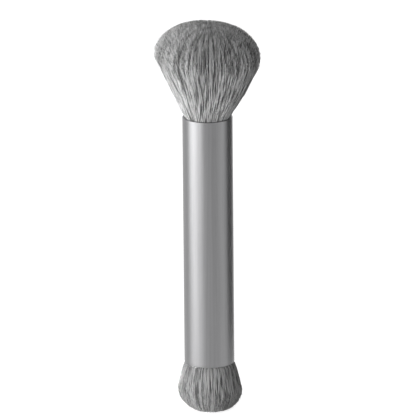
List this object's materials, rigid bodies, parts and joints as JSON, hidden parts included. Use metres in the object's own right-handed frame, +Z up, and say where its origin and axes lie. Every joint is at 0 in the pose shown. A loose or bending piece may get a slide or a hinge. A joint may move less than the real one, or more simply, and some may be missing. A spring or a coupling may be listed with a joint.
{
  "type": "duo fibre makeup brush",
  "caption": "Double-ended makeup brush: a straight aluminium tube with a large flared powder head at one end and a small dense domed buffing head at the other.",
  "frame": {"origin": "middle of the small flat at the bottom of the buffing head, on the tube's axis", "axes": "+Z runs up the tube towards the powder head; X and Y are square to it and alike"},
  "size_m": [0.0411, 0.0411, 0.1591],
  "materials": {
    "anodised_aluminium": "satin",
    "bare_aluminium": "satin",
    "grey_fibre": "soft fibre",
    "cured_resin": "glossy",
    "waxed_thread": "waxed",
    "turned_birch": "unfinished"
  },
  "bodies": {
    "root": {"handle_tube": "anodised_aluminium", "core_dowel": "turned_birch", "powder_ferrule": "bare_aluminium", "powder_root_plug": "cured_resin", "powder_tie": "waxed_thread", "powder_tuft": "grey_fibre", "buffing_ferrule": "bare_aluminium", "buffing_root_plug": "cured_resin", "buffing_tie": "waxed_thread", "buffing_tuft": "grey_fibre"}
  },
  "joints": []
}
